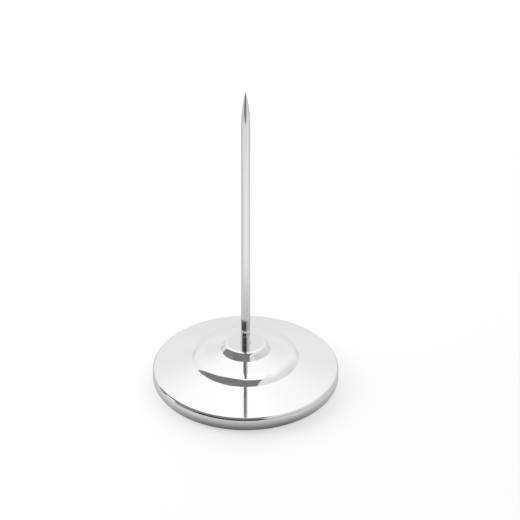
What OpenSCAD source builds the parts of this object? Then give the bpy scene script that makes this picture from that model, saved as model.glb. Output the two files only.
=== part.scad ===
// Receipt spike: a pointed steel rod that stands on a weighted base pressed from polished sheet.
// One nut under the ballast plate pulls the spike down into a dimple in the shell, and that pull
// clamps the shell, the plate and the spike together.
// Sizes in millimetres, +Z up. The origin is on the table, on the spike's axis.

/* [Overall] */
// Height of the point above the table
overall_h = 180; // [140:1:220]
// Diameter of the base, over its rim
base_d = 100; // [86:1:130]

/* [Base shell: rim and outer ring] */
// Thickness of the pressed sheet
sheet_t = 0.8; // [0.6:0.05:1]
// Height of the rim's lowest edge above the table
rim_lift = 0.4; // [0.2:0.1:1]
// Outer radius of the roll at the bottom of the rim
roll_r = 3; // [2:0.1:4]
// Height of the upright wall between the roll and the shoulder
wall_h = 3.6; // [2.5:0.1:8]
// Outer radius of the shoulder above the wall
shoulder_r = 2; // [1.5:0.1:3]
// Width of the flat lip that is turned in under the base
lip_w = 2; // [1:0.1:4]
// Slope of the outer ring where it leaves the shoulder, in degrees
ring_slope = 19; // [15:0.5:24]
// Radius of the outer ring's slight crown, in section
ring_crown_r = 400; // [250:10:700]

/* [Base shell: dome] */
// Diameter of the crease where the dome rises out of the outer ring
dome_d = 57.4; // [50:0.2:66]
// Slope of the dome's edge at that crease, in degrees
dome_edge_slope = 42; // [34:1:55]
// Radius of the dome's edge, in section
dome_edge_r = 12.5; // [9:0.5:18]
// Slope at which that edge runs on into a wider rounding, in degrees
dome_bend_slope = 25; // [21:1:30]
// Radius of the wider rounding, in section
dome_crown_r = 28; // [20:1:45]
// Slope of the dome inside both roundings, in degrees
dome_slope = 15; // [10:0.5:19]

/* [Base shell: hub] */
// Diameter of the crease where the hub rises out of the dome
hub_d = 27; // [23:0.2:32]
// Height of the hub's flat top above that crease
hub_h = 3.4; // [2.6:0.1:5]
// Slope of the hub's side, in degrees
hub_slope = 50; // [40:1:65]
// Radius of the hub's rounded edge, in section
hub_edge_r = 3.5; // [2:0.1:4]
// Diameter of the mouth of the dimple that the spike sits in
dimple_d = 6; // [5.6:0.1:8]

/* [Spike] */
// Diameter of the rod
spike_d = 5; // [4.4:0.1:5.5]
// Length of the point
point_l = 22; // [12:0.5:40]
// Diameter of the blunted end of the point
point_end_d = 0.3; // [0.2:0.05:0.6]
// Depth of the fine taper at the rod's foot, on the radius
foot_cut = 0.1; // [0.05:0.05:0.2]
// Height of that taper's top above the hub
foot_h = 0.2; // [0.1:0.1:0.6]
// Diameter of the threaded tail
tail_d = 4; // [3.5:0.05:4.2]
// Length of tail that shows below the nut
tail_proud = 0.6; // [0.2:0.1:1]

/* [Ballast plate and pad] */
// Thickness of the non-slip pad
pad_t = 3; // [2.6:0.1:4]
// Diameter of the hole in the middle of the pad
pad_hole_d = 18; // [16:0.5:30]
// Gap between the lip and the plate, and between the lip and the pad, all round
lip_gap = 0.5; // [0.3:0.1:1]
// Width of the sloped seat on the plate's top edge
plate_seat_w = 4; // [2:0.5:8]
// Diameter of the recess under the plate that the nut sits in
recess_d = 14; // [12:0.5:15]
// Depth of that recess
recess_h = 3.5; // [2.8:0.1:4.5]
// Small bevel on the outer corners of the plate, the pad and the tail
bevel = 0.5; // [0.2:0.1:0.8]

/* [Fastener] */
// Gap round the tail in the shell, the plate and the washers
tail_gap = 0.15; // [0.1:0.05:0.3]
// Gap between the nut's thread and the tail's, both drawn plain
thread_gap = 0.05; // [0.02:0.01:0.1]
// Outer diameter of the flat washer
washer_d = 9; // [8:0.1:11]
// Thickness of the flat washer
washer_t = 0.8; // [0.5:0.1:1]
// Outer diameter of the spring washer
spring_d = 7.6; // [6.8:0.1:8]
// Thickness of the spring washer, pressed flat
spring_t = 0.9; // [0.6:0.1:1]
// Width of the slit in the spring washer, in degrees
spring_slit = 16; // [8:1:30]
// Width of the nut across its flats
nut_af = 7; // [6.6:0.1:8]
// Height of the nut
nut_h = 3.2; // [2.4:0.1:3.4]

/* [Hidden] */
$fn = 96;

steel = [0.80, 0.80, 0.81];
dark_steel = [0.36, 0.36, 0.37];
zinc = [0.70, 0.71, 0.72];
black_foam = [0.09, 0.09, 0.10];

// Slope of the dimple's wall and of the taper on the spike that sits in it
seat_slope = 45;
// Number of the nut's flats
nut_sides = 6;
// Slope of the bevels on the nut's corners
nut_bevel_slope = 30;
// How far a raised part of the section reaches down into the part that carries it
overlap = 2 * sheet_t;
// How far a face lies below the end of the rounding it runs on from, so that the two cross cleanly
arc_sink = 0.002;

base_r = base_d / 2;
roll_z = rim_lift + roll_r;
shoulder_z = roll_z + wall_h;
lip_r = base_r - roll_r - lip_w;

// A point at distance r from c, square to a surface that falls outwards at a given slope
function on_slope(c, r, slope) = [c[0] + r * sin(slope), c[1] + r * cos(slope)];

// Outer ring: a wide arc that runs on from the shoulder's, here at a depth of inset below its top
shoulder_c = [base_r - shoulder_r, shoulder_z];
ring_c = on_slope(shoulder_c, shoulder_r - ring_crown_r - arc_sink, ring_slope);
function ring_z(r, inset) = ring_c[1] + sqrt(pow(ring_crown_r - inset, 2) - pow(r - ring_c[0], 2));

// Dome: its edge is an arc through the crease, a wider arc runs on from that, and a cone from both
dome_crease = [dome_d / 2, ring_z(dome_d / 2, 0)];
dome_edge_c = on_slope(dome_crease, -dome_edge_r, dome_edge_slope);
dome_c = on_slope(dome_edge_c, dome_edge_r - dome_crown_r - arc_sink, dome_bend_slope);
function dome_start(inset) = on_slope(dome_c, dome_crown_r - inset - arc_sink, dome_slope);
function dome_z(r, inset) = dome_start(inset)[1] + (dome_start(inset)[0] - r) * tan(dome_slope);

// Hub: its edge is an arc that touches both the sloped side and the flat top
hub_crease = [hub_d / 2, dome_z(hub_d / 2, 0)];
hub_z = hub_crease[1] + hub_h;
hub_c_drop = hub_edge_r + (hub_h - hub_edge_r) * cos(hub_slope);
hub_c = [hub_crease[0] - hub_c_drop / sin(hub_slope), hub_z - hub_edge_r];

// Spike
spike_r = spike_d / 2;
tail_r = tail_d / 2;
tail_hole_r = tail_r + tail_gap;
foot_r = spike_r - foot_cut;
foot_z = hub_z + foot_h;
seat_top = hub_z - (dimple_d / 2 - foot_r) * tan(seat_slope);
seat_end = seat_top - (foot_r - tail_r) * tan(seat_slope);
point_z = overall_h - point_l;
point_taper = spike_r - point_end_d / 2;
point_arc_r = (point_l * point_l + point_taper * point_taper) / (2 * point_taper);

// Plate, pad and the stack of fasteners, from the top down
plate_r = lip_r - lip_gap;
plate_seat_r = plate_r - plate_seat_w;
plate_top = ring_z(plate_seat_r, sheet_t);
recess_z = pad_t + recess_h;
washer_z = recess_z - washer_t;
spring_z = washer_z - spring_t;
nut_z = spring_z - nut_h;
tail_end = nut_z - tail_proud;

// Section of the rim and the outer ring, filled in to the axis and drawn in by inset all round
module rim_section(inset) {
    ring_r = on_slope(shoulder_c, shoulder_r - inset, ring_slope)[0];
    ring_top = ring_z(dome_crease[0] - overlap, inset);
    polygon([
        [0, rim_lift + inset],
        [base_r - roll_r, rim_lift + inset],
        [base_r - inset, roll_z],
        [base_r - inset, shoulder_z],
        [0, shoulder_z]
    ]);
    translate([base_r - roll_r, roll_z]) circle(roll_r - inset);
    translate(shoulder_c) circle(shoulder_r - inset);
    intersection() {
        translate(ring_c) circle(ring_crown_r - inset);
        translate([0, roll_z]) square([ring_r, ring_top - roll_z]);
    }
}

// Section of the dome, filled in to the axis and drawn in by inset
module dome_section(inset) {
    bend_r = on_slope(dome_c, dome_crown_r - inset, dome_bend_slope)[0];
    inner_r = hub_crease[0] - overlap;
    outer_r = dome_crease[0] + overlap;
    bottom = dome_crease[1] - overlap;
    inner_z = dome_z(inner_r, inset);
    intersection() {
        polygon([
            [0, bottom],
            [outer_r, bottom],
            [outer_r, dome_z(outer_r, inset)],
            [inner_r, inner_z],
            [0, inner_z]
        ]);
        union() {
            translate([0, bottom]) square([dome_start(inset)[0], inner_z - bottom]);
            intersection() {
                translate(dome_c) circle(dome_crown_r - inset);
                union() {
                    translate([0, bottom]) square([bend_r, inner_z - bottom]);
                    translate(dome_edge_c) circle(dome_edge_r - inset);
                }
            }
        }
    }
}

// Section of the hub, filled in to the axis and drawn in by inset
module hub_section(inset) {
    side = on_slope(hub_c, hub_edge_r - inset, hub_slope);
    top = hub_z - inset;
    bottom = hub_crease[1] - overlap;
    top_r = side[0] + (side[1] - top) / tan(hub_slope);
    bottom_r = side[0] + (side[1] - bottom) / tan(hub_slope);
    intersection() {
        polygon([[0, bottom], [bottom_r, bottom], [top_r, top], [0, top]]);
        union() {
            translate([0, bottom]) square([hub_c[0], top - bottom]);
            translate([0, bottom]) square([bottom_r, side[1] - bottom]);
            translate(hub_c) circle(hub_edge_r - inset + arc_sink);
        }
    }
}

// Cone of the dimple in the hub's top, grown by inset, with its mouth carried up past the top
module dimple_section(inset) {
    mouth_r = dimple_d / 2 + inset / sin(seat_slope);
    polygon([
        [0, hub_z - mouth_r * tan(seat_slope)],
        [mouth_r + overlap, hub_z + overlap * tan(seat_slope)],
        [0, hub_z + overlap * tan(seat_slope)]
    ]);
}

// Section of the whole base as a filled body, drawn in by inset
module body_section(inset) {
    difference() {
        union() {
            rim_section(inset);
            dome_section(inset);
            hub_section(inset);
        }
        dimple_section(inset);
    }
}

// Pressed shell: the filled body less the same body drawn in by one sheet
module base_shell() {
    color(steel)
    rotate_extrude()
    difference() {
        body_section(0);
        body_section(sheet_t);
        square([lip_r, rim_lift + overlap]);
        square([tail_hole_r, hub_z]);
    }
}

// Spike: rod, ground point, tapered foot and seat, and threaded tail in one piece
module spike() {
    color(steel)
    rotate_extrude()
    union() {
        polygon([
            [0, tail_end],
            [tail_r - bevel, tail_end],
            [tail_r, tail_end + bevel],
            [tail_r, seat_end],
            [foot_r, seat_top],
            [spike_r, foot_z],
            [spike_r, point_z],
            [0, point_z]
        ]);
        translate([0, point_z])
        intersection() {
            square([spike_r, point_l]);
            translate([spike_r - point_arc_r, 0]) circle(point_arc_r);
        }
    }
}

// Ballast plate: its sloped top edge bears on the underside of the shell's outer ring
module ballast_plate() {
    color(dark_steel)
    rotate_extrude()
    polygon([
        [recess_d / 2, pad_t],
        [plate_r - bevel, pad_t],
        [plate_r, pad_t + bevel],
        [plate_r, ring_z(plate_r, sheet_t)],
        [plate_seat_r, plate_top],
        [tail_hole_r, plate_top],
        [tail_hole_r, recess_z],
        [recess_d / 2, recess_z]
    ]);
}

// Flat washer, against the roof of the plate's recess
module flat_washer() {
    color(zinc)
    translate([0, 0, washer_z])
    rotate_extrude()
    translate([tail_hole_r, 0])
    square([washer_d / 2 - tail_hole_r, washer_t]);
}

// Split spring washer, pressed flat between the flat washer and the nut
module spring_washer() {
    color(zinc)
    translate([0, 0, spring_z])
    rotate([0, 0, spring_slit / 2])
    rotate_extrude(angle = 360 - spring_slit)
    translate([tail_hole_r, 0])
    square([spring_d / 2 - tail_hole_r, spring_t]);
}

// Hexagon nut, with the corners bevelled on both faces
module hex_nut() {
    corner_r = nut_af / 2 / cos(180 / nut_sides);
    bevel_h = (corner_r - nut_af / 2) * tan(nut_bevel_slope);
    color(zinc)
    translate([0, 0, nut_z])
    difference() {
        intersection() {
            cylinder(r = corner_r, h = nut_h, $fn = nut_sides);
            rotate_extrude()
            polygon([
                [0, 0],
                [nut_af / 2, 0],
                [corner_r, bevel_h],
                [corner_r, nut_h - bevel_h],
                [nut_af / 2, nut_h],
                [0, nut_h]
            ]);
        }
        translate([0, 0, -overlap]) cylinder(r = tail_r + thread_gap, h = nut_h + 2 * overlap);
    }
}

// Non-slip pad: a ring stuck under the plate, standing a little below the shell's lip
module base_pad() {
    color(black_foam)
    rotate_extrude()
    polygon([
        [pad_hole_d / 2 + bevel, 0],
        [plate_r - bevel, 0],
        [plate_r, bevel],
        [plate_r, pad_t],
        [pad_hole_d / 2, pad_t],
        [pad_hole_d / 2, bevel]
    ]);
}

spike();
base_shell();
ballast_plate();
flat_washer();
spring_washer();
hex_nut();
base_pad();
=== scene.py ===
"""Receipt spike: smooth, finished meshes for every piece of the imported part, and its studio.

Sizes are in metres, +Z is up, and the origin is on the table, on the spike's axis.
"""

import logging
import math
from collections.abc import Iterable
from dataclasses import dataclass, field
from enum import Enum
from typing import Any

import bmesh
import bpy
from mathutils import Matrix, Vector


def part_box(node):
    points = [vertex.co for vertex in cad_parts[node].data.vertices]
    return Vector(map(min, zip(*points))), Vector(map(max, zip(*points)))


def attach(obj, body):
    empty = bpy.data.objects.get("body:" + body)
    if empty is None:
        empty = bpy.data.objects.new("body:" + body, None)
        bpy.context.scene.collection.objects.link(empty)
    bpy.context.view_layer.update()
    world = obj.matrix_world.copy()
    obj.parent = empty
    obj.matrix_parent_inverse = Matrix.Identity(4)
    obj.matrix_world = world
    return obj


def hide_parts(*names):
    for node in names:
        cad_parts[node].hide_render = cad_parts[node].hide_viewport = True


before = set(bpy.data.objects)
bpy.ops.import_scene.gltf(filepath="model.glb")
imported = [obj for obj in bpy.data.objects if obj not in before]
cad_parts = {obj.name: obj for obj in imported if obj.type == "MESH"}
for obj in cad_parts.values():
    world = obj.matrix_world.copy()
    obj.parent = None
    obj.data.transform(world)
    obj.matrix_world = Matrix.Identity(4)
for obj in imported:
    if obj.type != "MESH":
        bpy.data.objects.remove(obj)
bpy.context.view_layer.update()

MM = 0.001
BODY = "root"
LOG = logging.getLogger("receipt_spike")

Point = tuple[float, float]
Span = tuple[float, float]
Colour = tuple[float, float, float, float]


class Slot(Enum):
    """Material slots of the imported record."""

    POLISHED = "polished_steel"
    BALLAST = "ballast_steel"
    ZINC = "zinc_plate"
    FOAM = "black_foam"


class Ends(Enum):
    """How a skin over a row of rings ends."""

    JOINED = "the last ring runs on into the first"
    CAPPED = "the first and the last ring are each filled by a face"


# Node trees


class Tree:
    """A node tree that is filled in by short calls."""

    def __init__(self, tree: bpy.types.NodeTree) -> None:
        """Take over a tree and empty it."""
        self.tree = tree
        self.tree.nodes.clear()

    def node(
        self,
        kind: str,
        settings: dict[str, Any] | None = None,
        sockets: dict[str | int, Any] | None = None,
    ) -> bpy.types.Node:
        """Add one node.

        Args:
            kind: Blender's name for the type of node.
            settings: attributes of the node, which are set before its sockets.
            sockets: a value or a link for each input socket, by name or by index.

        Returns:
            The new node.
        """
        made = self.tree.nodes.new(kind)
        for name, value in (settings or {}).items():
            setattr(made, name, value)
        for name, value in (sockets or {}).items():
            self.feed(made.inputs[name], value)
        return made

    def first(self, *described: Any) -> bpy.types.NodeSocket:
        """Add one node, described as for node(), and give its first output."""
        return self.node(*described).outputs[0]

    def feed(self, socket: bpy.types.NodeSocket, value: Any) -> None:
        """Link an input socket, or set it to a plain value.

        Args:
            socket: the input socket.
            value: a Value, another node's output socket, or a plain number, colour or vector.
        """
        if isinstance(value, Value):
            value = value.socket
        if isinstance(value, bpy.types.NodeSocket):
            self.tree.links.new(value, socket)
        else:
            socket.default_value = value


class Value:
    """A shader value that Python's operators work on, each adding a Math node."""

    def __init__(self, tree: Tree, socket: bpy.types.NodeSocket) -> None:
        """Wrap an output socket of a tree."""
        self.tree = tree
        self.socket = socket

    def math(self, operation: str, *operands: Any) -> "Value":
        """Give the result of a Math node, from its operation and its inputs in order."""
        sockets = dict(enumerate(operands))
        return Value(self.tree, self.tree.first("ShaderNodeMath", {"operation": operation}, sockets))

    def __add__(self, other: Any) -> "Value":
        """Give the sum."""
        return self.math("ADD", self, other)

    __radd__ = __add__

    def __sub__(self, other: Any) -> "Value":
        """Give this value less the other."""
        return self.math("SUBTRACT", self, other)

    def __rsub__(self, other: Any) -> "Value":
        """Give the other value less this one."""
        return self.math("SUBTRACT", other, self)

    def __mul__(self, other: Any) -> "Value":
        """Give the product."""
        return self.math("MULTIPLY", self, other)

    __rmul__ = __mul__

    def __truediv__(self, other: Any) -> "Value":
        """Give this value over the other."""
        return self.math("DIVIDE", self, other)

    def mixed(self, other: Any, share: "Value") -> "Value":
        """Give this value where a share is 0, and the other one where it is 1."""
        return self * (1 - share) + other * share

    def root(self) -> "Value":
        """Give the square root."""
        return self.math("SQRT", self)

    def size(self) -> "Value":
        """Give this value without its sign."""
        return self.math("ABSOLUTE", self)

    def at_least(self, floor: Any) -> "Value":
        """Give this value, held at or above a floor."""
        return self.math("MAXIMUM", self, floor)

    def at_most(self, ceiling: Any) -> "Value":
        """Give this value, held at or below a ceiling."""
        return self.math("MINIMUM", self, ceiling)

    def angle_to(self, across: "Value") -> "Value":
        """Give the angle of the direction (across, self) from the first axis, in radians."""
        return self.math("ARCTAN2", self, across)

    def rise(self, low: float, high: float) -> "Value":
        """Give a smooth step.

        Args:
            low: where the step is 0.
            high: where it is 1; with high below low, the step falls.

        Returns:
            The step, from 0 to 1.
        """
        smooth = {"interpolation_type": "SMOOTHSTEP"}
        limits = {"Value": self, "From Min": low, "From Max": high}
        return Value(self.tree, self.tree.first("ShaderNodeMapRange", smooth, limits))


class ShaderTree(Tree):
    """The node tree of a material or of the world."""

    # A Mix node has sockets of its own for colours, which are found by their index
    FIRST_COLOUR = 6
    SECOND_COLOUR = 7
    MIXED_COLOUR = 2

    def value(self, node: bpy.types.Node, output: str | int) -> Value:
        """Wrap one output of a node."""
        return Value(self, node.outputs[output])

    def place(self) -> bpy.types.NodeSocket:
        """Give the place on the piece, in metres."""
        return self.node("ShaderNodeTexCoord").outputs["Object"]

    def split(self, vector: bpy.types.NodeSocket) -> tuple[Value, Value, Value]:
        """Give the three parts of a vector."""
        parts = self.node("ShaderNodeSeparateXYZ", None, {0: vector})
        return self.value(parts, 0), self.value(parts, 1), self.value(parts, 2)

    def vector(self, x: Any, y: Any, z: Any) -> bpy.types.NodeSocket:
        """Join three values into a vector."""
        return self.first("ShaderNodeCombineXYZ", None, {0: x, 1: y, 2: z})

    def noise(self, vector: bpy.types.NodeSocket, scale: float, detail: float = 2.0) -> Value:
        """Give soft noise about 0.5, from its waves in a unit and its finer layers."""
        sockets = {"Vector": vector, "Scale": scale, "Detail": detail}
        return self.value(self.node("ShaderNodeTexNoise", None, sockets), "Fac")

    def cells(self, vector: bpy.types.NodeSocket, scale: float) -> Value:
        """Give the distance to the middle of the nearest of many small cells."""
        made = self.node("ShaderNodeTexVoronoi", {"feature": "F1"}, {"Vector": vector, "Scale": scale})
        return self.value(made, "Distance")

    def blend(self, share: Value, first: Any, second: Any) -> bpy.types.NodeSocket:
        """Mix two colours: the first where the share is 0, the second where it is 1."""
        sockets = {0: share, self.FIRST_COLOUR: first, self.SECOND_COLOUR: second}
        return self.node("ShaderNodeMix", {"data_type": "RGBA"}, sockets).outputs[self.MIXED_COLOUR]

    def bump(self, height: Value, depth: float, strength: float) -> bpy.types.NodeSocket:
        """Give a normal tilted by a height from 0 to 1, where 1 stands out by the depth in metres."""
        sockets = {"Height": height, "Distance": depth, "Strength": strength}
        return self.node("ShaderNodeBump", None, sockets).outputs["Normal"]

    def surface(self, shader: bpy.types.NodeSocket) -> None:
        """Make a shader the surface of the material."""
        self.node("ShaderNodeOutputMaterial", None, {"Surface": shader})

    def principled(
        self, colour: Any, gloss: Value, normal: bpy.types.NodeSocket, metallic: float = 1.0
    ) -> None:
        """Make a Principled shader the surface; metallic is 1 for bare metal."""
        sockets = {"Base Color": colour, "Metallic": metallic, "Roughness": gloss, "Normal": normal}
        self.surface(self.first("ShaderNodeBsdfPrincipled", None, sockets))


def new_material(name: str) -> tuple[bpy.types.Material, ShaderTree]:
    """Start a material.

    Args:
        name: the material's name.

    Returns:
        The material, and its empty tree.
    """
    material = bpy.data.materials.new(name)
    material.use_nodes = True
    return material, ShaderTree(material.node_tree)


# Finishes


@dataclass(frozen=True)
class BuffedSteel:
    """Mirror-polished sheet with the faint rings that a buffing wheel leaves round the axis."""

    colour: Colour = (0.78, 0.78, 0.785, 1.0)
    gloss: float = 0.035
    cloud_size: float = 16 * MM
    cloud_range: Span = (0.4, 0.7)
    cloud_spread: float = 0.03
    ring_size: float = 0.25 * MM
    ring_depth: float = 0.02 * MM
    ring_strength: float = 0.02
    hairline_size: float = 0.16 * MM
    hairlines_in_a_turn: float = 5.0
    hairline_range: Span = (0.62, 0.72)
    hairline_gloss: float = 0.06

    def material(self) -> bpy.types.Material:
        """Build the material.

        Returns:
            Steel whose gloss changes in soft clouds and along fine broken arcs.
        """
        material, tree = new_material("buffed_steel")
        place = tree.place()
        x, y, z = tree.split(place)
        radius = (x * x + y * y).root()
        turn = y.angle_to(x) / math.tau
        clouds = tree.noise(place, 1 / self.cloud_size)
        rings = tree.noise(tree.vector(radius, z, 0.0), 1 / self.ring_size)
        along = turn * self.hairlines_in_a_turn * self.hairline_size
        hairlines = tree.noise(tree.vector(radius, z, along), 1 / self.hairline_size)
        gloss = self.gloss + self.cloud_spread * clouds.rise(*self.cloud_range)
        gloss = gloss + self.hairline_gloss * hairlines.rise(*self.hairline_range)
        tree.principled(self.colour, gloss, tree.bump(rings, self.ring_depth, self.ring_strength))
        return material


@dataclass(frozen=True)
class DrawnSteel:
    """Polished rod with faint lines along it, and rings round its ground point."""

    point_start: float
    colour: Colour = (0.78, 0.78, 0.785, 1.0)
    gloss: float = 0.05
    line_width: float = 0.3 * MM
    line_length: float = 30 * MM
    line_range: Span = (0.45, 0.7)
    line_gloss: float = 0.06
    ring_size: float = 0.2 * MM
    ring_range: Span = (0.4, 0.7)
    ring_gloss: float = 0.08
    fade: float = 3 * MM
    mark_depth: float = 0.01 * MM
    mark_strength: float = 0.03

    def material(self) -> bpy.types.Material:
        """Build the material.

        Returns:
            Steel with drawing lines on the rod that give way to grinding rings on the point.
        """
        material, tree = new_material("drawn_steel")
        x, y, z = tree.split(tree.place())
        radius = (x * x + y * y).root()
        stretch = self.line_width / self.line_length
        lines = tree.noise(tree.vector(x, y, z * stretch), 1 / self.line_width)
        rings = tree.noise(tree.vector(radius, z, 0.0), 1 / self.ring_size)
        ground = z.rise(self.point_start - self.fade, self.point_start + self.fade)
        marks = lines.mixed(rings, ground)
        worn = self.line_gloss * lines.rise(*self.line_range) * (1 - ground)
        gloss = self.gloss + worn + self.ring_gloss * rings.rise(*self.ring_range) * ground
        tree.principled(self.colour, gloss, tree.bump(marks, self.mark_depth, self.mark_strength))
        return material


@dataclass(frozen=True)
class RolledSteel:
    """Plain rolled plate with a mottled dark oxide skin, rubbed brighter in places."""

    dark: Colour = (0.10, 0.10, 0.105, 1.0)
    bright: Colour = (0.36, 0.36, 0.37, 1.0)
    mottle_size: float = 9 * MM
    mottle_detail: float = 5.0
    mottle_range: Span = (0.35, 0.68)
    grain_size: float = 0.5 * MM
    grain_detail: float = 3.0
    grain_range: Span = (0.45, 0.7)
    grain_share: float = 0.3
    gloss: float = 0.42
    gloss_spread: float = 0.22
    grain_depth: float = 0.05 * MM
    grain_strength: float = 0.35

    def material(self) -> bpy.types.Material:
        """Build the material.

        Returns:
            Dark metal whose colour and gloss follow one mottle.
        """
        material, tree = new_material("rolled_steel")
        place = tree.place()
        mottle = tree.noise(place, 1 / self.mottle_size, self.mottle_detail).rise(*self.mottle_range)
        grain = tree.noise(place, 1 / self.grain_size, self.grain_detail)
        rubbed = mottle * (1 - self.grain_share) + grain.rise(*self.grain_range) * self.grain_share
        tree.principled(
            tree.blend(rubbed, self.dark, self.bright),
            self.gloss + self.gloss_spread * (1 - rubbed),
            tree.bump(grain, self.grain_depth, self.grain_strength),
        )
        return material


@dataclass(frozen=True)
class ZincPlate:
    """Bright zinc plating with a fine crystal sparkle and a faint cool tint."""

    pale: Colour = (0.74, 0.75, 0.77, 1.0)
    cool: Colour = (0.60, 0.63, 0.67, 1.0)
    crystal_size: float = 0.35 * MM
    stain_size: float = 2.5 * MM
    stain_detail: float = 3.0
    stain_range: Span = (0.35, 0.7)
    gloss: float = 0.22
    gloss_spread: float = 0.16
    crystal_depth: float = 0.02 * MM
    crystal_strength: float = 0.25

    def material(self) -> bpy.types.Material:
        """Build the material.

        Returns:
            Pale metal with small crystals in its gloss and soft stains in its colour.
        """
        material, tree = new_material("zinc_plate")
        place = tree.place()
        crystals = tree.cells(place, 1 / self.crystal_size)
        stains = tree.noise(place, 1 / self.stain_size, self.stain_detail).rise(*self.stain_range)
        tree.principled(
            tree.blend(stains, self.pale, self.cool),
            self.gloss + self.gloss_spread * crystals,
            tree.bump(crystals, self.crystal_depth, self.crystal_strength),
        )
        return material


@dataclass(frozen=True)
class FoamRubber:
    """Matt black closed-cell foam with fine open pores and a little dust in them."""

    black: Colour = (0.012, 0.012, 0.013, 1.0)
    dusty: Colour = (0.05, 0.05, 0.05, 1.0)
    pore_size: float = 0.4 * MM
    pore_range: Span = (0.3, 0.8)
    patch_size: float = 7 * MM
    patch_detail: float = 3.0
    patch_range: Span = (0.4, 0.7)
    gloss: float = 0.78
    gloss_spread: float = 0.18
    pore_depth: float = 0.12 * MM
    pore_strength: float = 0.6

    def material(self) -> bpy.types.Material:
        """Build the material.

        Returns:
            Dark rubber with pores that are lighter where dust has settled.
        """
        material, tree = new_material("foam_rubber")
        place = tree.place()
        pores = tree.cells(place, 1 / self.pore_size)
        patches = tree.noise(place, 1 / self.patch_size, self.patch_detail).rise(*self.patch_range)
        dust = pores.rise(*self.pore_range) * patches
        tree.principled(
            tree.blend(dust, self.black, self.dusty),
            self.gloss + self.gloss_spread * pores,
            tree.bump(pores, self.pore_depth, self.pore_strength),
            metallic=0.0,
        )
        return material


# Drawing sections


def on_slope(centre: Point, distance: float, slope: float) -> Point:
    """Find the point of an arc where the surface falls outwards at a slope; upright is a quarter turn."""
    return centre[0] + distance * math.sin(slope), centre[1] + distance * math.cos(slope)


def height_over(point: Point, slope: float) -> float:
    """Give how far the line through a point, falling outwards at a slope, is from the origin."""
    return point[0] * math.sin(slope) + point[1] * math.cos(slope)


def lines_meet(first: Point, first_slope: float, second: Point, second_slope: float) -> Point:
    """Find where two lines meet.

    Args:
        first: a point on the first line.
        first_slope: how steeply that line falls outwards, in radians.
        second: a point on the second line.
        second_slope: how steeply that one falls outwards.

    Returns:
        The point that is on both.
    """
    first_off = height_over(first, first_slope)
    second_off = height_over(second, second_slope)
    cross = math.sin(first_slope - second_slope)
    radius = (first_off * math.cos(second_slope) - second_off * math.cos(first_slope)) / cross
    height = (second_off * math.sin(first_slope) - first_off * math.sin(second_slope)) / cross
    return radius, height


def arcs_meet(first: Point, first_radius: float, second: Point, second_radius: float) -> Point:
    """Find the outer one of the two points where two arcs meet.

    Args:
        first: centre of the first arc.
        first_radius: its radius.
        second: centre of the second arc.
        second_radius: its radius.

    Returns:
        The meeting point that is further from the axis.
    """
    apart = math.dist(first, second)
    along = (apart**2 + first_radius**2 - second_radius**2) / (2 * apart)
    aside = math.sqrt(first_radius**2 - along**2)
    way = ((second[0] - first[0]) / apart, (second[1] - first[1]) / apart)
    middle = (first[0] + way[0] * along, first[1] + way[1] * along)
    return max((middle[0] + side * way[1], middle[1] - side * way[0]) for side in (aside, -aside))


def slope_at(centre: Point, point: Point) -> float:
    """Give the slope of an arc at one of its points."""
    return math.atan2(point[0] - centre[0], point[1] - centre[1])


@dataclass
class Section:
    """Outline of a turned piece in its half plane, as (radius, height) points."""

    points: list[Point] = field(default_factory=list)
    arc_step: float = math.radians(3)
    line_step: float = 2 * MM
    hold: float = 0.1 * MM
    same: float = 1e-6 * MM

    def to(self, *ends: Point) -> "Section":
        """Draw straight stretches, with points held close to both ends so that they shade flat.

        Args:
            ends: the end of each stretch in turn.

        Returns:
            This section.
        """
        for end in ends:
            if self.points and math.dist(self.points[-1], end) < self.same:
                continue
            if self.points:
                self.points.extend(self._between(self.points[-1], end))
            self.points.append(end)
        return self

    def _between(self, start: Point, end: Point) -> list[Point]:
        """Space out points inside a straight stretch.

        Args:
            start: the start of the stretch.
            end: its end.

        Returns:
            The points between the two, or none where the stretch is very short.
        """
        length = math.dist(start, end)
        if length < 4 * self.hold:
            return []
        count = max(1, math.ceil(length / self.line_step))
        inner = [length * i / count for i in range(1, count)]
        stops = [self.hold, *inner, length - self.hold]
        shares = [stop / length for stop in stops]
        return [(start[0] + (end[0] - start[0]) * s, start[1] + (end[1] - start[1]) * s) for s in shares]

    def arc(self, centre: Point, radius: float, first: float, last: float) -> "Section":
        """Draw an arc, after a straight stretch to its start.

        Args:
            centre: the arc's centre.
            radius: its radius, below 0 for a hollow arc.
            first: slope of the surface at its start, in radians.
            last: slope of the surface at its end.

        Returns:
            This section.
        """
        self.to(on_slope(centre, radius, first))
        turn = abs(last - first)
        count = max(2, math.ceil(turn / self.arc_step), math.ceil(turn * abs(radius) / self.line_step))
        turns = [first + (last - first) * i / count for i in range(1, count + 1)]
        self.points.extend(on_slope(centre, radius, turn) for turn in turns)
        return self

    def closed(self) -> "Section":
        """Draw back to the start, and drop the point that would be there twice.

        Returns:
            This section.
        """
        self.to(self.points[0])
        self.points.pop()
        return self


def rounded(corners: list[Point], radius: float) -> list[Point]:
    """Round every corner of a closed outline whose sides all run along the axes.

    Args:
        corners: the corners in order.
        radius: the radius of each rounding.

    Returns:
        The outline, with a short arc in place of each corner.
    """
    steps = 4
    made: list[Point] = []
    for i, corner in enumerate(corners):
        here = Vector(corner)
        back = (Vector(corners[i - 1]) - here).normalized() * radius
        ahead = (Vector(corners[(i + 1) % len(corners)]) - here).normalized() * radius
        for k in range(steps + 1):
            turn = math.pi / 2 * k / steps
            spot = here + back * (1 - math.sin(turn)) + ahead * (1 - math.cos(turn))
            made.append((spot.x, spot.y))
    return made


# Making meshes


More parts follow.
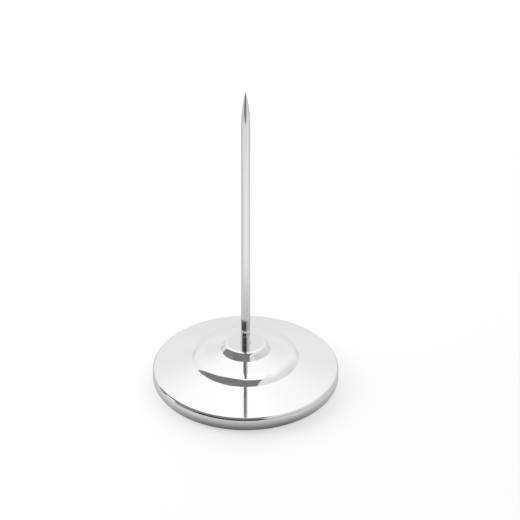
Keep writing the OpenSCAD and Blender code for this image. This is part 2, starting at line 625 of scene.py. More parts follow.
def new_object(name: str, data: bpy.types.ID) -> bpy.types.Object:
    """Add an object to the scene.

    Args:
        name: the object's name.
        data: its mesh, lamp or camera.

    Returns:
        The object.
    """
    made = bpy.data.objects.new(name, data)
    bpy.context.scene.collection.objects.link(made)
    return made


class GeometryTree(Tree):
    """A Geometry Nodes tree with named inputs, run once to make a plain mesh."""

    KINDS = {
        "Profile": "NodeSocketGeometry",
        "Material": "NodeSocketMaterial",
        "Segments": "NodeSocketInt",
    }

    def __init__(self, name: str, inputs: Iterable[str]) -> None:
        """Start a tree.

        Args:
            name: the tree's name.
            inputs: names of its inputs; those that KINDS doesn't list are plain numbers.
        """
        super().__init__(bpy.data.node_groups.new(name, "GeometryNodeTree"))
        face = self.tree.interface
        self.sockets = {}
        for label in inputs:
            kind = self.KINDS.get(label, "NodeSocketFloat")
            self.sockets[label] = face.new_socket(name=label, in_out="INPUT", socket_type=kind).identifier
        face.new_socket(name="Mesh", in_out="OUTPUT", socket_type="NodeSocketGeometry")
        self.start = self.node("NodeGroupInput").outputs

    def finish(self, mesh: bpy.types.NodeSocket) -> None:
        """End the tree with real geometry that carries the material.

        Args:
            mesh: what the tree has made.
        """
        real = self.first("GeometryNodeRealizeInstances", None, {"Geometry": mesh})
        coat = {"Geometry": real, "Material": self.start["Material"]}
        self.node("NodeGroupOutput", None, {0: self.first("GeometryNodeSetMaterial", None, coat)})

    def run(self, name: str, outline: list[Point], closed: bool, **inputs: Any) -> bpy.types.Object:
        """Run the tree on an outline.

        Args:
            name: name of the piece.
            outline: the profile, in the tree's own plane.
            closed: whether the outline's last point joins its first.
            inputs: the tree's other inputs, with their names in small letters.

        Returns:
            A piece with a plain mesh and no modifier.
        """
        count = len(outline)
        edges = [(i, (i + 1) % count) for i in range(count if closed else count - 1)]
        profile = bpy.data.meshes.new(name + "_profile")
        profile.from_pydata([(across, up, 0.0) for across, up in outline], edges, [])
        piece = new_object(name, profile)
        modifier = piece.modifiers.new("made", "NODES")
        modifier.node_group = self.tree
        for label, value in inputs.items():
            modifier[self.sockets[label.replace("_", " ").title()]] = value
        bpy.context.view_layer.update()
        evaluated = piece.evaluated_get(bpy.context.evaluated_depsgraph_get())
        mesh = bpy.data.meshes.new_from_object(evaluated)
        piece.modifiers.clear()
        piece.data = mesh
        mesh.name = name
        bpy.data.meshes.remove(profile)
        face_outwards(mesh)
        return piece


class Lathe(GeometryTree):
    """Turns a section round the Z axis."""

    MERGE = 0.001 * MM
    CREASE = math.radians(12)

    def __init__(self) -> None:
        """Build the tree: a section swept round a circle, its poles closed and its creases kept sharp."""
        super().__init__("turned", ["Profile", "Segments", "Path Radius", "Material"])
        section = self.first("GeometryNodeMeshToCurve", None, {"Mesh": self.start["Profile"]})
        ring = {"Resolution": self.start["Segments"], "Radius": self.start["Path Radius"]}
        circle = self.first("GeometryNodeCurvePrimitiveCircle", None, ring)
        swept = self.first("GeometryNodeCurveToMesh", None, {"Curve": circle, "Profile Curve": section})
        whole = self.first("GeometryNodeMergeByDistance", None, {"Geometry": swept, "Distance": self.MERGE})
        smooth = self.first("GeometryNodeSetShadeSmooth", {"domain": "FACE"}, {"Geometry": whole})
        angle = self.node("GeometryNodeInputMeshEdgeAngle").outputs["Unsigned Angle"]
        over = {"data_type": "FLOAT", "operation": "GREATER_THAN"}
        sharp = self.first("FunctionNodeCompare", over, {0: angle, 1: self.CREASE})
        edges = {"Geometry": smooth, "Selection": sharp, "Shade Smooth": False}
        self.finish(self.first("GeometryNodeSetShadeSmooth", {"domain": "EDGE"}, edges))

    def turn(
        self, name: str, section: Section, closed: bool, segments: int, material: bpy.types.Material
    ) -> bpy.types.Object:
        """Turn a section into a piece.

        Args:
            name: name of the piece.
            section: its outline.
            closed: whether the outline closes on itself; an open one ends on the axis.
            segments: number of flats round the axis.
            material: the piece's finish.

        Returns:
            The turned piece.
        """
        path = max(radius for radius, _ in section.points)
        # The sweep lays a profile's first axis outwards and its second one down
        outline = [(radius - path, -height) for radius, height in section.points]
        return self.run(name, outline, closed, segments=segments, path_radius=path, material=material)


class Winder(GeometryTree):
    """Winds a profile along a helix round the Z axis."""

    def __init__(self) -> None:
        """Build the tree: a profile swept along a spiral of constant radius, lifted into place."""
        inputs = ["Profile", "Segments", "Turns", "Path Radius", "Rise", "Lift", "Material"]
        super().__init__("wound", inputs)
        section = self.first("GeometryNodeMeshToCurve", None, {"Mesh": self.start["Profile"]})
        spiral = {
            "Resolution": self.start["Segments"],
            "Rotations": self.start["Turns"],
            "Start Radius": self.start["Path Radius"],
            "End Radius": self.start["Path Radius"],
            "Height": self.start["Rise"],
        }
        helix = self.first("GeometryNodeCurveSpiral", None, spiral)
        level = self.first("GeometryNodeSetCurveNormal", {"mode": "Z_UP"}, {"Curve": helix})
        sweep = {"Curve": level, "Profile Curve": section, "Fill Caps": True}
        swept = self.first("GeometryNodeCurveToMesh", None, sweep)
        move = self.first("ShaderNodeCombineXYZ", None, {2: self.start["Lift"]})
        self.finish(self.first("GeometryNodeTransform", None, {"Geometry": swept, "Translation": move}))


def face_outwards(mesh: bpy.types.Mesh) -> None:
    """Turn the faces of a closed mesh outwards.

    Args:
        mesh: the mesh, which is changed in place.
    """
    work = bmesh.new()
    work.from_mesh(mesh)
    bmesh.ops.recalc_face_normals(work, faces=work.faces)
    work.to_mesh(mesh)
    work.free()


def skin(
    name: str, rings: list[list[Vector]], ends: Ends, crease: float, material: bpy.types.Material
) -> bpy.types.Object:
    """Skin a row of rings that have the same number of points.

    Args:
        name: name of the piece.
        rings: the rings in order, each a closed loop.
        ends: how the skin ends.
        crease: edges that bend by more than this stay sharp, in radians.
        material: the piece's finish.

    Returns:
        The piece.
    """
    work = bmesh.new()
    rows = [[work.verts.new(spot) for spot in ring] for ring in rings]
    pairs = list(zip(rows, rows[1:]))
    if ends is Ends.JOINED:
        pairs.append((rows[-1], rows[0]))
    else:
        work.faces.new(reversed(rows[0]))
        work.faces.new(rows[-1])
    for low, high in pairs:
        for i in range(len(low)):
            work.faces.new((low[i - 1], low[i], high[i], high[i - 1]))
    bmesh.ops.recalc_face_normals(work, faces=work.faces)
    for face in work.faces:
        face.smooth = True
    for edge in work.edges:
        edge.smooth = edge.calc_face_angle(0.0) < crease
    mesh = bpy.data.meshes.new(name)
    work.to_mesh(mesh)
    work.free()
    mesh.materials.append(material)
    return new_object(name, mesh)


def enter(piece: bpy.types.Object, slot: Slot, *nodes: str) -> bpy.types.Object:
    """Enter a finished piece in the frame.

    Args:
        piece: the piece, in place.
        slot: the record's slot that its finish belongs to.
        nodes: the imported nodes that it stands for, if any.

    Returns:
        The piece.
    """
    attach(piece, BODY)
    if nodes:
        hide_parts(*nodes)
    triangles = sum(len(face.vertices) - 2 for face in piece.data.polygons)
    LOG.info("%s: %d triangles, %s", piece.name, triangles, slot.value)
    return piece


# Sub-assemblies


@dataclass
class BaseShell:
    """Base pressed from one polished sheet: rolled rim, outer ring, dome and hub."""

    sheet: float = 0.8 * MM
    roll_radius: float = 3 * MM
    wall: float = 3.72 * MM
    shoulder_radius: float = 2 * MM
    lip: float = 2 * MM
    ring_slope: float = math.radians(17.1)
    ring_crown: float = 3000 * MM
    dome_radius: float = 28.7 * MM
    dome_edge_slope: float = math.radians(42)
    dome_edge_radius: float = 12.5 * MM
    dome_bend_slope: float = math.radians(25)
    dome_crown: float = 28 * MM
    dome_slope: float = math.radians(15)
    hub_radius: float = 13.5 * MM
    hub_slope: float = math.radians(50)
    hub_edge_radius: float = 3.5 * MM
    crease_radius: float = 0.4 * MM
    dimple_radius: float = 3 * MM
    dimple_slope: float = math.radians(45)
    tail_hole: float = 2.15 * MM
    segments: int = 288

    def __post_init__(self) -> None:
        """Read the outer size from the frame and work out the centres of the arcs."""
        low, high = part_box("base_shell")
        self.radius = high.x
        self.bottom = low.z
        self.top = high.z
        self.roll_centre = (self.radius - self.roll_radius, self.bottom + self.roll_radius)
        self.shoulder_centre = (self.radius - self.shoulder_radius, self.roll_centre[1] + self.wall)
        narrower = self.shoulder_radius - self.ring_crown
        self.ring_centre = on_slope(self.shoulder_centre, narrower, self.ring_slope)
        crease_slope = math.asin((self.dome_radius - self.ring_centre[0]) / self.ring_crown)
        crease = on_slope(self.ring_centre, self.ring_crown, crease_slope)
        self.edge_centre = on_slope(crease, -self.dome_edge_radius, self.dome_edge_slope)
        narrower = self.dome_edge_radius - self.dome_crown
        self.dome_centre = on_slope(self.edge_centre, narrower, self.dome_bend_slope)
        self.hub_centre = self.find_hub_centre()

    def find_hub_centre(self) -> Point:
        """Find the centre of the hub's rounded edge.

        Returns:
            The centre, from which the edge touches the hub's flat top and its sloped side.
        """
        dome_start = on_slope(self.dome_centre, self.dome_crown, self.dome_slope)
        rise = (dome_start[0] - self.hub_radius) * math.tan(self.dome_slope)
        crease = (self.hub_radius, dome_start[1] + rise)
        height = self.top - self.hub_edge_radius
        side = height_over(crease, self.hub_slope) - self.hub_edge_radius
        return (side - height * math.cos(self.hub_slope)) / math.sin(self.hub_slope), height

    def under_ring(self, radius: float) -> float:
        """Give the height of the outer ring's underside at a radius."""
        across = radius - self.ring_centre[0]
        return self.ring_centre[1] + math.sqrt((self.ring_crown - self.sheet) ** 2 - across**2)

    def surface(self, inset: float) -> Section:
        """Draw one face of the sheet, from the lip under the base up to the dimple.

        Args:
            inset: how far this face is inside the outer one.

        Returns:
            The open outline.
        """
        upright = math.pi / 2
        fillet = self.crease_radius
        dome_foot = arcs_meet(
            self.edge_centre, self.dome_edge_radius + fillet, self.ring_centre, self.ring_crown + fillet
        )
        ring_end = slope_at(self.ring_centre, dome_foot)
        edge_start = slope_at(self.edge_centre, dome_foot)
        dome_top = on_slope(self.dome_centre, self.dome_crown + fillet, self.dome_slope)
        hub_side = on_slope(self.hub_centre, self.hub_edge_radius + fillet, self.hub_slope)
        hub_foot = lines_meet(dome_top, self.dome_slope, hub_side, self.hub_slope)
        mouth = self.dimple_radius + inset / math.sin(self.dimple_slope)
        fall = math.tan(self.dimple_slope)
        flat = self.top - inset
        section = Section()
        section.to((self.roll_centre[0] - self.lip, self.bottom + inset))
        section.arc(self.roll_centre, self.roll_radius - inset, math.pi, upright)
        section.arc(self.shoulder_centre, self.shoulder_radius - inset, upright, self.ring_slope)
        section.arc(self.ring_centre, self.ring_crown - inset, self.ring_slope, ring_end)
        section.arc(dome_foot, -fillet - inset, ring_end, edge_start)
        section.arc(self.edge_centre, self.dome_edge_radius - inset, edge_start, self.dome_bend_slope)
        section.arc(self.dome_centre, self.dome_crown - inset, self.dome_bend_slope, self.dome_slope)
        section.arc(hub_foot, -fillet - inset, self.dome_slope, self.hub_slope)
        section.arc(self.hub_centre, self.hub_edge_radius - inset, self.hub_slope, 0.0)
        section.to((mouth - inset / fall, flat))
        section.to((self.tail_hole, self.top - (mouth - self.tail_hole) * fall))
        return section

    def build(self, lathe: Lathe, finish: BuffedSteel) -> None:
        """Turn the shell and enter it.

        Args:
            lathe: what turns the section.
            finish: the polished sheet.
        """
        section = self.surface(0.0)
        section.to(*reversed(self.surface(self.sheet).points))
        section.closed()
        piece = lathe.turn("shell_polished", section, True, self.segments, finish.material())
        enter(piece, Slot.POLISHED, "base_shell")


@dataclass
class Spike:
    """Rod with a ground point, a tapered seat and a threaded tail."""

    point: float = 22 * MM
    point_end: float = 0.15 * MM
    point_steps: int = 40
    foot_rise: float = 0.2 * MM
    foot_cut: float = 0.1 * MM
    seat_drop: float = 0.6 * MM
    tail_radius: float = 2 * MM
    thread_root: float = 1.62 * MM
    thread_pitch: float = 0.7 * MM
    thread_top: float = 10.4 * MM
    runout: float = 0.5 * MM
    tail_bevel: float = 0.5 * MM
    crest: float = 0.09 * MM
    sink: float = 0.05 * MM
    segments: int = 96
    thread_segments: int = 48

    def __post_init__(self) -> None:
        """Read the rod's size and the hub's height from the frame."""
        low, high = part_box("spike")
        self.radius = high.x
        self.bottom = low.z
        self.top = high.z
        self.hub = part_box("base_shell")[1].z

    def section(self) -> Section:
        """Draw the rod from the end of its tail up to its point.

        Returns:
            The outline, open on the axis at both ends.
        """
        foot = self.radius - self.foot_cut
        seat_top = self.hub - self.seat_drop
        point_start = self.top - self.point
        section = Section()
        section.to((0.0, self.bottom), (self.tail_radius - self.tail_bevel, self.bottom))
        section.to((self.thread_root, self.bottom + self.tail_bevel), (self.thread_root, self.thread_top))
        section.to((self.tail_radius, self.thread_top + self.runout))
        section.to((self.tail_radius, seat_top - foot + self.tail_radius), (foot, seat_top))
        section.to((self.radius, self.hub + self.foot_rise), (self.radius, point_start))
        section.points.extend(self.point_outline(point_start))
        section.points.append((0.0, self.top))
        return section

    def point_outline(self, start: float) -> list[Point]:
        """Draw the ground point as one long arc that leaves the rod smoothly.

        Args:
            start: height at which the point starts.

        Returns:
            The outline above that height, up to the edge of the blunted end.
        """
        taper = self.radius - self.point_end
        bend = (self.point**2 + taper**2) / (2 * taper)
        made = []
        for i in range(1, self.point_steps + 1):
            up = self.point * i / self.point_steps
            made.append((self.radius - bend + math.sqrt(bend**2 - up**2), start + up))
        return made

    def build(self, lathe: Lathe, winder: Winder) -> None:
        """Turn the rod, wind its thread and enter both.

        Args:
            lathe: what turns the section.
            winder: what winds the thread.
        """
        material = DrawnSteel(self.top - self.point).material()
        rod = lathe.turn("spike_rod", self.section(), False, self.segments, material)
        enter(rod, Slot.POLISHED, "spike")
        half = self.thread_pitch / 2
        start = self.bottom + self.tail_bevel + half
        length = self.thread_top - start
        depth = self.tail_radius - self.thread_root
        ridge = [(-self.sink, -half), (depth, -self.crest / 2), (depth, self.crest / 2), (-self.sink, half)]
        thread = winder.run(
            "spike_thread",
            ridge,
            True,
            segments=self.thread_segments,
            turns=length / self.thread_pitch,
            path_radius=self.thread_root,
            rise=length,
            lift=start,
            material=material,
        )
        enter(thread, Slot.POLISHED)


@dataclass
class Ballast:
    """Heavy plate inside the shell, whose sloped edge bears under the outer ring."""

    seat: float = 4 * MM
    recess_radius: float = 7 * MM
    recess_depth: float = 3.5 * MM
    hole: float = 2.15 * MM
    bevel: float = 0.5 * MM
    corner: float = 0.15 * MM
    segments: int = 192

    def build(self, lathe: Lathe, finish: RolledSteel, shell: BaseShell) -> None:
        """Turn the plate and enter it.

        Args:
            lathe: what turns the section.
            finish: the rolled plate.
            shell: the shell that the plate bears against.
        """
        low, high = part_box("ballast_plate")
        radius = high.x
        top = shell.under_ring(radius - self.seat)
        roof = low.z + self.recess_depth
        section = Section()
        section.to((self.recess_radius + self.corner, low.z), (radius - self.bevel, low.z))
        section.to((radius, low.z + self.bevel), (radius, shell.under_ring(radius)))
        section.to((radius - self.seat, top), (self.hole + self.corner, top))
        section.to((self.hole, top - self.corner))
        section.to((self.hole, roof + self.corner), (self.hole + self.corner, roof))
        section.to((self.recess_radius, roof), (self.recess_radius, low.z + self.corner))
        section.closed()
        piece = lathe.turn("ballast_plate_rolled", section, True, self.segments, finish.material())
        enter(piece, Slot.BALLAST, "ballast_plate")


@dataclass
class Fastener:
    """Nut, spring washer and flat washer that draw the spike down."""

    hole: float = 2.15 * MM
    nut_hole: float = 2.05 * MM
    edge: float = 0.12 * MM
    slit: float = math.radians(16)
    nut_bevel: float = math.radians(30)
    mouth: float = 0.3 * MM
    steps_a_side: int = 16
    washer_segments: int = 96
    split_segments: int = 88
    crease: float = math.radians(20)

    def build(self, lathe: Lathe, finish: ZincPlate) -> None:
        """Make the three pieces and enter them.

        Args:
            lathe: what turns the flat washer.
            finish: the plating, shared by all three.
        """
        material = finish.material()
        enter(self.flat_washer(lathe, material), Slot.ZINC, "flat_washer")
        enter(self.spring_washer(material), Slot.ZINC, "spring_washer")
        enter(self.nut(material), Slot.ZINC, "hex_nut")

    def ring_outline(self, node: str) -> list[Point]:
        """Draw the section of a washer.

        Args:
            node: the washer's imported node, whose box gives its size.

        Returns:
            The outline, with rounded corners.
        """
        low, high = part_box(node)
        corners = [(self.hole, low.z), (high.y, low.z), (high.y, high.z), (self.hole, high.z)]
        return rounded(corners, self.edge)

    def flat_washer(self, lathe: Lathe, material: bpy.types.Material) -> bpy.types.Object:
        """Turn the flat washer."""
        section = Section(self.ring_outline("flat_washer"))
        return lathe.turn("flat_washer_plated", section, True, self.washer_segments, material)

    def spring_washer(self, material: bpy.types.Material) -> bpy.types.Object:
        """Make the split washer, pressed flat, with its slit across +X.

        Args:
            material: the plating.

        Returns:
            The washer.
        """
        outline = self.ring_outline("spring_washer")
        steps = self.split_segments
        sweep = math.tau - self.slit
        rings = []
        for i in range(steps + 1):
            turn = self.slit / 2 + sweep * i / steps
            rings.append([Vector((r * math.cos(turn), r * math.sin(turn), z)) for r, z in outline])
        return skin("spring_washer_plated", rings, Ends.CAPPED, self.crease, material)

    def nut(self, material: bpy.types.Material) -> bpy.types.Object:
        """Make the nut, whose bevels cut its flats in shallow curves.

        Args:
            material: the plating.

        Returns:
            The nut.
        """
        low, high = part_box("hex_nut")
        corner = high.x
        sides = 6
        half_side = math.pi / sides
        flat = corner * math.cos(half_side)
        count = sides * self.steps_a_side
        turns = [math.tau * i / count for i in range(count)]

        def round_ring(radius: float, height: float) -> list[Vector]:
            """Give a round ring of points."""
            return [Vector((radius * math.cos(t), radius * math.sin(t), height)) for t in turns]

        def hex_ring(base: float, way: int) -> list[Vector]:
            """Give the edge where a bevel meets the flats.

            Args:
                base: height of that edge at the middle of each flat.
                way: 1 where the edge climbs to the corners, as at the lower bevel, or -1 where it falls.

            Returns:
                The ring of points.
            """
            made = []
            for turn in turns:
                from_flat = turn % (2 * half_side) - half_side
                radius = flat / math.cos(from_flat)
                height = base + way * (radius - flat) * math.tan(self.nut_bevel)
                made.append(Vector((radius * math.cos(turn), radius * math.sin(turn), height)))
            return made

        inner = flat - self.edge
        lip = self.edge * math.tan(self.nut_bevel)
        mouth = self.nut_hole + self.mouth
        rings = [
            round_ring(self.nut_hole, low.z + self.mouth),
            round_ring(mouth, low.z),
            round_ring(inner, low.z),
            hex_ring(low.z + lip, 1),
            hex_ring(high.z - lip, -1),
            round_ring(inner, high.z),
            round_ring(mouth, high.z),
            round_ring(self.nut_hole, high.z - self.mouth),
        ]
        return skin("hex_nut_plated", rings, Ends.JOINED, self.crease, material)


@dataclass
class Pad:
    """Foam ring stuck under the plate, which the part stands on."""

    hole: float = 9 * MM
    edge: float = 0.5 * MM
    segments: int = 192

    def build(self, lathe: Lathe, finish: FoamRubber) -> None:
        """Args:
            lathe: what turns the section.
            finish: the foam.
        """
        low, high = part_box("base_pad")
        corners = [(self.hole, low.z), (high.x, low.z), (high.x, high.z), (self.hole, high.z)]
        outline = Section()
        outline.to(*rounded(corners, self.edge))
        outline.closed()
        piece = lathe.turn("pad_foam", outline, True, self.segments, finish.material())
        enter(piece, Slot.FOAM, "base_pad")


# Studio


class Way(Enum):
    """What a soft step runs along, on the floor or in a direction out of the studio.

    Places are in metres and angles in radians. A direction's parts are those of a vector of length 1.
    """

    RIGHT = "to the right"
    BACK = "away from the camera"
    UP = "upwards"
    ASIDE = "to either side"
    REACH = "away from the axis"
    OUT = "away from the rim, stretched to how high on the rim's wall it is mirrored"
    TURN = "round the axis, from the front to the right"
    SWING = "round the axis, from the front to either side"
    BEHIND = "round the axis, from the left to the back"

    def __call__(self, start: float, end: float) -> "Step":
        """Give a step along this way."""
        return Step(self, start, end)


Spot = dict[Way, Value]


@dataclass(frozen=True)
class Step:
    """Soft step from 0 to 1 along one way."""

    way: Way
    start: float
    end: float


@dataclass(frozen=True)
class Patch:
    """Tone of a soft-edged patch, whose share at a spot is the product of its steps."""

    tone: float
    steps: tuple[Step, ...]

    def share(self, spot: Spot) -> Value:
        """Give how much of the patch there is at a spot, from 0 to 1."""
        first, *others = [spot[step.way].rise(step.start, step.end) for step in self.steps]
        return math.prod(others, start=first)

    def added(self, spot: Spot) -> Value:
        """Give what the patch adds at a spot."""
        return self.tone * self.share(spot)

    def over(self, ground: Any, spot: Spot) -> Value:
        """Give the tone of a ground with the patch laid over it."""
        return ground + (self.tone - ground) * self.share(spot)


@dataclass(frozen=True)
class PaintedFloorReflection:
    """Painted reflection of the floor in the steel, against how it looks to the camera: painted shade,
    darkest at the rim, with a painted lift at the top of the rim's wall.
    """

    # Painted shade in the floor's reflection: rim_tone is a painted contact shadow at the rim, lighter at
    # the sides and gone further out; wall_top is a painted lift; the other patches are painted shade close
    # by, at the sides and far off
    rim_tone: float = 0.36
    rim_sides: Patch = Patch(0.95, (Way.SWING(0.35, 1.35),))
    rim_end: Patch = Patch(1.0, (Way.OUT(3.5 * MM, 10.5 * MM),))
    wall_top: Patch = Patch(
        0.26, (Way.SWING(0.3, 0.7), Way.OUT(7.2 * MM, 10.2 * MM), Way.OUT(13 * MM, 11 * MM))
    )
    wall_least: float = 0.3
    near: Patch = Patch(0.68, (Way.REACH(0.138, 0.066),))
    left: Patch = Patch(0.71, (Way.TURN(-0.4, -1.35), Way.SWING(2.7, 2.2)))
    right: Patch = Patch(0.71, (Way.TURN(0.95, 2.0), Way.SWING(2.7, 2.2)))
    front: Patch = Patch(0.88, (Way.BACK(-0.18, -0.24),))
    front_edge: Patch = Patch(0.3, (Way.BACK(-0.29, -0.37), Way.TURN(0.35, 0.2)))
    behind: Patch = Patch(0.84, (Way.REACH(0.12, 0.3), Way.BACK(-0.1, 0.1)))
    far_left: Patch = Patch(0.2, (Way.RIGHT(-0.6, -0.9),))

    def tone(self, tree: ShaderTree) -> Value:
        """Build the tone.

        Args:
            tree: the floor's tree.

        Returns:
            The painted shade's tone: darkest at the rim, dim close to the part, on both sides and far off,
            and lifted a little where the top of the rim's wall mirrors it.
        """
        x, y, _ = tree.split(tree.place())
        reach = (x * x + y * y).root()
        turn = x.angle_to(0 - y)
        facing = ((0 - y) / reach).at_least(0.0)
        out = (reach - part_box("base_shell")[1].x) / (self.wall_least + (1 - self.wall_least) * facing)
        spot = {Way.RIGHT: x, Way.BACK: y, Way.REACH: reach, Way.OUT: out}
        spot |= {Way.TURN: turn, Way.SWING: turn.size()}
        # Painted contact shadow round the rim, then the painted lift and the painted shade, all seen only
        # in the steel
        tone = self.rim_end.over(self.rim_sides.over(self.rim_tone, spot), spot)
        tone = tone * (1 + self.wall_top.added(spot))
        tone = tone * self.near.over(1.0, spot).at_most(self.right.over(self.left.over(1.0, spot), spot))
        for patch in (self.front, self.front_edge, self.behind, self.far_left):
            tone = tone * patch.over(1.0, spot)
        return tone


@dataclass(frozen=True)
class Surroundings:
    """What the steel mirrors past the floor: a light wall, and in front a dark room with a panel."""

    wall_tone: float = 0.93
    wall_climb: float = 0.33
    wall_sides: Patch = Patch(-0.1, (Way.ASIDE(0.3, 0.5), Way.UP(0.3, 0.1)))
    wall_overhead: Patch = Patch(0.08, (Way.UP(0.86, 0.97),))
    wall_left: Patch = Patch(0.05, (Way.UP(0.5, 0.8), Way.RIGHT(0.0, -0.3)))
    wall_back: Patch = Patch(-0.155, (Way.ASIDE(0.5, 0.1), Way.UP(0.25, 0.5), Way.UP(0.8, 0.57)))
    dark_tone: float = 0.06
    dark_overhead: Patch = Patch(0.235, (Way.UP(0.56, 0.66),))
    dark_below: Patch = Patch(0.25, (Way.UP(-0.1, -0.25),))
    dark_left: Patch = Patch(0.27, (Way.RIGHT(-0.55, -0.72), Way.BACK(-0.55, -0.35), Way.UP(0.05, 0.2)))
    panel_tone: float = 0.82
    panel_front: Patch = Patch(-0.22, (Way.BACK(-0.1, -0.6),))
    panel_near_dip: Patch = Patch(-0.2, (Way.UP(-0.15, -0.02), Way.UP(0.3, 0.05), Way.RIGHT(0.6, 0.45)))
    panel_far_dip: Patch = Patch(-0.2, (Way.UP(-0.15, -0.02), Way.UP(0.3, 0.05), Way.RIGHT(0.76, 0.9)))
    panel_overhead: Patch = Patch(0.92, (Way.UP(0.58, 0.7),))
    panel_slant: Patch = Patch(-0.12, (Way.UP(0.68, 0.5), Way.UP(0.1, 0.3)))
    panel_start: Span = (0.265, 0.29)
    panel_end: Span = (0.45, 0.0)
    side_panel: Patch = Patch(1.0, (Way.BACK(0.9, 0.3), Way.RIGHT(0.36, 0.55)))
    room_end: Span = (0.115, 0.085)
    room_slant: float = 0.42
    strip_ends: tuple[Step, ...] = (Way.BEHIND(-0.03, 0.0), Way.BEHIND(0.3, 0.18))
    strip_height: tuple[Step, ...] = (Way.UP(0.0, 0.04), Way.UP(0.36, 0.28))
    strip_tone: float = 1.4

    def tone(self, tree: ShaderTree) -> Value:
        """Build the tone.

        Args:
            tree: the world's tree.

        Returns:
            The tone in each direction, where 1 is white.
        """
        x, y, z = tree.split(tree.node("ShaderNodeTexCoord").outputs["Generated"])
        left = 0 - x
        spot = {Way.RIGHT: x, Way.BACK: y, Way.UP: z, Way.ASIDE: x.size(), Way.BEHIND: y.angle_to(left)}
        wall = self.wall_tone + self.wall_climb * z.at_least(0.0)
        for patch in (self.wall_sides, self.wall_overhead, self.wall_left, self.wall_back):
            wall = wall + patch.added(spot)
        dark = self.dark_below.over(self.dark_overhead.over(self.dark_tone, spot), spot)
        dark = dark.at_least(self.dark_left.added(spot))
        dips = self.panel_near_dip.added(spot) + self.panel_far_dip.added(spot)
        panel = self.panel_tone + self.panel_front.added(spot) + dips
        panel = self.panel_overhead.over(panel, spot)
        right = (x + self.panel_slant.added(spot)).rise(*self.panel_start)
        ahead = (y - self.room_slant * left.at_least(0.0)).rise(*self.room_end)
        ahead = ahead.mixed(y.rise(*self.panel_end), right).at_least(self.side_panel.share(spot))
        level = wall.mixed(dark.mixed(panel, right), ahead)
        return Patch(self.strip_tone, self.strip_ends + self.strip_height).over(level, spot)


def hold_off(thing: bpy.types.Object, way: Vector, distance: float, height: float) -> None:
    """Put a lamp or a camera some way off, so that it faces a point on the axis.

    Args:
        thing: the lamp or the camera.
        way: the direction in which it is held off, of length 1.
        distance: how far off it is.
        height: height of the point that it faces.
    """
    thing.location = Vector((0.0, 0.0, height)) + way * distance
    thing.rotation_euler = (-way).to_track_quat("-Z", "Y").to_euler()


@dataclass(frozen=True)
class SoftLamp:
    """Round soft lamp that faces the part and isn't mirrored in its steel."""

    name: str
    turn: float
    rise: float
    size: float
    power: float
    distance: float = 1.5

    def hang(self) -> None:
        """Hang the lamp."""
        data = bpy.data.lights.new(self.name, "AREA")
        data.shape = "DISK"
        data.size = self.size
        data.energy = self.power
        lamp = new_object(self.name, data)
        lamp.visible_glossy = False
        lamp.visible_camera = False
        level = math.cos(self.rise)
        way = Vector((level * math.cos(self.turn), level * math.sin(self.turn), math.sin(self.rise)))
        hold_off(lamp, way, self.distance, 0.0)


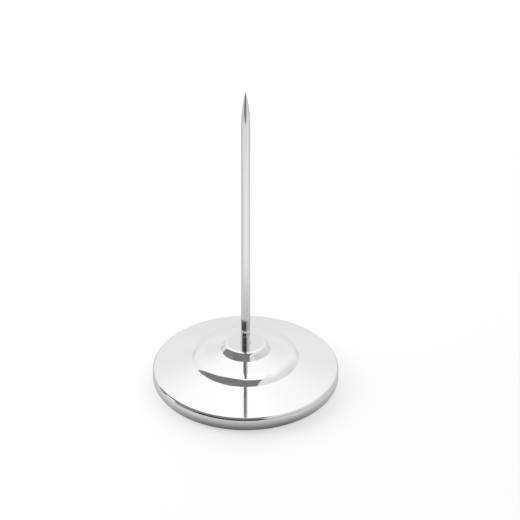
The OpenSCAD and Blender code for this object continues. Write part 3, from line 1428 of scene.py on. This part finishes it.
@dataclass
class Studio:
    """Camera, floor, world and lamps of a plain white studio with a dark room in front of it."""

    image_side: float = 520.0
    focal_pixels: float = 4154.2
    axis_pixel: float = 245.6
    distance: float = 2.2
    pitch: float = math.radians(32.852)
    aim: float = 76.87 * MM
    sensor: float = 36.0
    view_end: float = 100.0
    floor_front: float = -0.37
    floor_back: float = 1.8
    floor_side: float = 1.6
    white: Colour = (1.0, 1.0, 1.0, 1.0)
    floor_colour: Colour = (0.408, 0.408, 0.408, 1.0)
    floor_glow: float = 0.585
    painted_floor_reflection: PaintedFloorReflection = PaintedFloorReflection()
    surroundings: Surroundings = Surroundings()
    left_lamp: SoftLamp = SoftLamp("left_lamp", math.radians(170), math.radians(32), 1.4, 13.1)
    back_lamp: SoftLamp = SoftLamp("back_lamp", math.radians(90), math.radians(26), 1.2, 7.7)

    def build(self) -> None:
        """Make the whole studio."""
        scene = bpy.context.scene
        scene.view_settings.view_transform = "Standard"
        scene.camera = self.camera()
        self.floor()
        scene.world = self.world()
        self.left_lamp.hang()
        self.back_lamp.hang()

    def camera(self) -> bpy.types.Object:
        """Make the camera.

        Returns:
            A long lens that looks down on the part.
        """
        data = bpy.data.cameras.new("camera")
        data.sensor_width = self.sensor
        data.lens = self.focal_pixels / self.image_side * self.sensor
        data.shift_x = 0.5 - self.axis_pixel / self.image_side
        data.clip_end = self.view_end
        camera = new_object("camera", data)
        back = Vector((0.0, -math.cos(self.pitch), math.sin(self.pitch)))
        hold_off(camera, back, self.distance, self.aim)
        return camera

    def floor(self) -> bpy.types.Object:
        """Lay the floor.

        Returns:
            A white sheet that ends a little in front of the part.
        """
        side, front, back = self.floor_side, self.floor_front, self.floor_back
        mesh = bpy.data.meshes.new("floor")
        corners = [(-side, front, 0.0), (side, front, 0.0), (side, back, 0.0), (-side, back, 0.0)]
        mesh.from_pydata(corners, [], [(0, 1, 2, 3)])
        mesh.materials.append(self.floor_material())
        return new_object("floor", mesh)

    def floor_material(self) -> bpy.types.Material:
        """Build the floor's material.

        Returns:
            White paper that glows enough to reach white and can be looked through from below; to the steel
            it is darkened by painted shade.
        """
        material, tree = new_material("white_paper")
        paper = tree.first("ShaderNodeBsdfDiffuse", None, {"Color": self.floor_colour})
        light = tree.first("ShaderNodeEmission", None, {"Strength": self.floor_glow})
        lit = tree.first("ShaderNodeAddShader", None, {0: paper, 1: light})
        # Painted shade: to glossy rays the floor fades towards this black by the painted reflection's tone,
        # darkest near the rim
        black = tree.first("ShaderNodeEmission", None, {"Strength": 0.0})
        mirrored = tree.value(tree.node("ShaderNodeLightPath"), "Is Glossy Ray")
        painted_shade_share = mirrored * (1 - self.painted_floor_reflection.tone(tree))
        sheet = tree.first("ShaderNodeMixShader", None, {0: painted_shade_share, 1: lit, 2: black})
        below = tree.node("ShaderNodeNewGeometry").outputs["Backfacing"]
        clear = tree.first("ShaderNodeBsdfTransparent")
        tree.surface(tree.first("ShaderNodeMixShader", None, {0: below, 1: sheet, 2: clear}))
        return material

    def world(self) -> bpy.types.World:
        """Build the world.

        Returns:
            White to the camera, and the surroundings to the steel.
        """
        world = bpy.data.worlds.new("studio")
        world.use_nodes = True
        tree = ShaderTree(world.node_tree)
        path = tree.node("ShaderNodeLightPath")
        seen = (tree.value(path, "Is Camera Ray") + tree.value(path, "Is Transmission Ray")).at_most(1.0)
        strength = self.surroundings.tone(tree).mixed(1.0, seen)
        shade = tree.first("ShaderNodeBackground", None, {"Color": self.white, "Strength": strength})
        tree.node("ShaderNodeOutputWorld", None, {"Surface": shade})
        return world


def main() -> None:
    """Build the part and its studio."""
    logging.basicConfig(level=logging.INFO, format="%(name)s: %(message)s")
    lathe = Lathe()
    shell = BaseShell()
    shell.build(lathe, BuffedSteel())
    Spike().build(lathe, Winder())
    Ballast().build(lathe, RolledSteel(), shell)
    Fastener().build(lathe, ZincPlate())
    Pad().build(lathe, FoamRubber())
    Studio().build()


if __name__ == "__main__":
    main()
